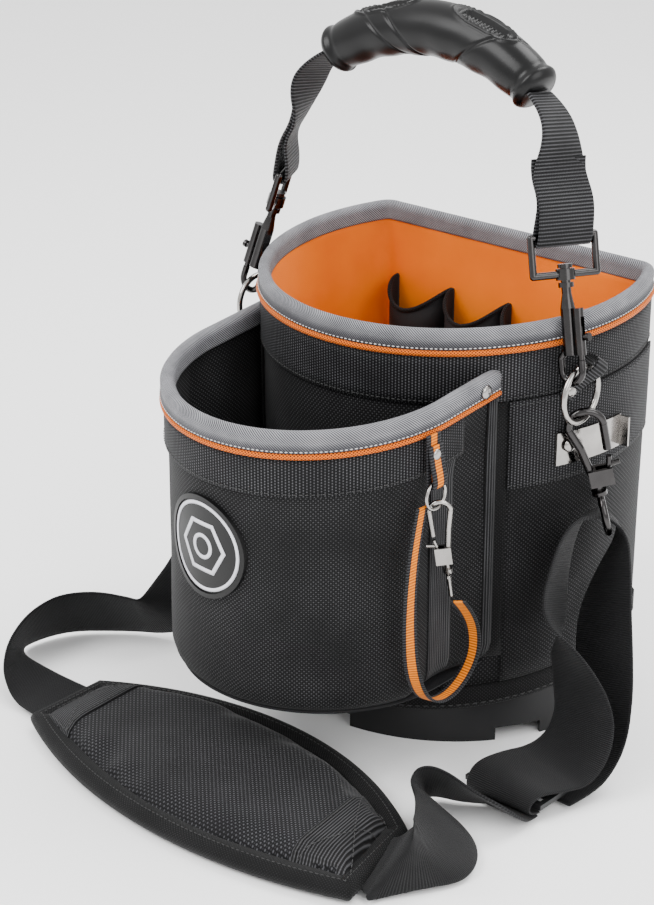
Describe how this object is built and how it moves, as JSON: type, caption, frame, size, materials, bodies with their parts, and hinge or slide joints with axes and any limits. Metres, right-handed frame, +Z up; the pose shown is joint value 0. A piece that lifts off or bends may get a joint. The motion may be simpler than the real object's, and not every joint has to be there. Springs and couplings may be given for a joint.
{
  "type": "tool bucket organizer",
  "caption": "Open fabric tool bucket with a moulded base, front pouch, swing handle on two rings, and a padded shoulder strap lying beside it.",
  "frame": {"origin": "on the floor, under the middle of the main compartment", "axes": "+Z up, -Y towards the front pouch, +X towards the side with the tape clip and the tool lanyard"},
  "size_m": [0.4325, 0.3799, 0.4687],
  "materials": {
    "ballistic": "woven, matte",
    "lining": "woven, matte",
    "rib_webbing": "ribbed webbing",
    "piping": "braided cord",
    "binding": "twill tape",
    "base_rubber": "satin moulded",
    "board": "matte",
    "nickel": "polished nickel",
    "gunmetal": "polished black nickel",
    "strap_web": "smooth webbing",
    "grip_rubber": "gloss rubber",
    "pad": "woven mesh",
    "black_plastic": "gloss"
  },
  "bodies": {
    "bucket": {"badge": "base_rubber", "base_tub": "base_rubber", "base_welt": "base_rubber", "body_shell": "ballistic", "carry_ring_left": "nickel", "carry_ring_right": "nickel", "floor_board": "board", "gusset_tapes": "rib_webbing", "lanyard_hook": "nickel", "lanyard_rivet": "nickel", "lanyard_strap": "strap_web", "lanyard_tab": "piping", "orange_lining": "lining", "pouch_binding": "binding", "pouch_divider": "ballistic", "pouch_floor": "ballistic", "pouch_front": "ballistic", "pouch_gusset_left": "ballistic", "pouch_gusset_right": "ballistic", "pouch_piping": "piping", "pouch_rim_rivets": "nickel", "pouch_webbing_band": "rib_webbing", "rim_binding": "binding", "rim_piping": "piping", "rim_webbing_band": "rib_webbing", "ring_tab_left": "rib_webbing", "ring_tab_right": "rib_webbing", "ring_tab_rivets": "nickel", "side_pocket_band_left": "rib_webbing", "side_pocket_band_right": "rib_webbing", "side_pocket_left": "ballistic", "side_pocket_right": "ballistic", "split_ring": "nickel", "strap_hook_left": "gunmetal", "strap_hook_right": "gunmetal", "strap_left": "strap_web", "strap_pad": "pad", "strap_right_loop": "strap_web", "strap_right_lower": "strap_web", "strap_slider": "black_plastic", "tape_clip": "nickel", "tape_clip_rivet": "nickel", "tool_pocket_1": "ballistic", "tool_pocket_2": "ballistic", "tool_pocket_3": "ballistic", "tool_pocket_4": "ballistic"},
    "handle": {"handle_grip": "grip_rubber", "handle_web_core": "strap_web", "handle_web_left": "strap_web", "handle_web_right": "strap_web", "swivel_loop_left": "gunmetal", "swivel_loop_right": "gunmetal"},
    "handle_hook_left": {"handle_hook_left": "gunmetal"},
    "handle_hook_right": {"handle_hook_right": "gunmetal"},
    "hook_bolt_left": {"hook_bolt_left": "gunmetal"},
    "hook_bolt_right": {"hook_bolt_right": "gunmetal"},
    "strap_gate_left": {"strap_gate_left": "gunmetal"},
    "strap_gate_right": {"strap_gate_right": "gunmetal"},
    "lanyard_gate": {"lanyard_gate": "nickel"}
  },
  "joints": [
    {"name": "handle_swing", "type": "hinge", "parent": "bucket", "child": "handle", "pos_m": [0, -0.015, 0.246], "axis": [1, 0, 0], "range_deg": [0, 70]},
    {"name": "hook_swivel_left", "type": "hinge", "parent": "handle", "child": "handle_hook_left", "pos_m": [-0.1365, -0.02374, 0.25642], "axis": [0.2487, 0.1599, 0.9553], "range_deg": [-12, 5]},
    {"name": "bolt_slide_left", "type": "slide", "parent": "handle_hook_left", "child": "hook_bolt_left", "axis": [0.2487, 0.1599, 0.9553], "range_m": [0, 0.009], "stiffness_N_per_m": 200},
    {"name": "strap_gate_swing_left", "type": "hinge", "parent": "bucket", "child": "strap_gate_left", "pos_m": [-0.14602, 0.00586, 0.18912], "axis": [0.6706, 0.729, 0.1374], "range_deg": [0, 22], "stiffness_Nm_per_rad": 0.02},
    {"name": "hook_swivel_right", "type": "hinge", "parent": "handle", "child": "handle_hook_right", "pos_m": [0.1365, -0.02374, 0.25642], "axis": [-0.2487, 0.1599, 0.9553], "range_deg": [-5, 12]},
    {"name": "bolt_slide_right", "type": "slide", "parent": "handle_hook_right", "child": "hook_bolt_right", "axis": [-0.2487, 0.1599, 0.9553], "range_m": [0, 0.009], "stiffness_N_per_m": 200},
    {"name": "strap_gate_swing_right", "type": "hinge", "parent": "bucket", "child": "strap_gate_right", "pos_m": [0.14602, 0.00586, 0.18912], "axis": [0.6706, -0.729, -0.1374], "range_deg": [0, 22], "stiffness_Nm_per_rad": 0.02},
    {"name": "lanyard_gate_swing", "type": "hinge", "parent": "bucket", "child": "lanyard_gate", "pos_m": [0.10436, -0.11247, 0.16139], "axis": [-0.6561, 0.7382, 0.1569], "range_deg": [0, 22], "stiffness_Nm_per_rad": 0.02}
  ]
}
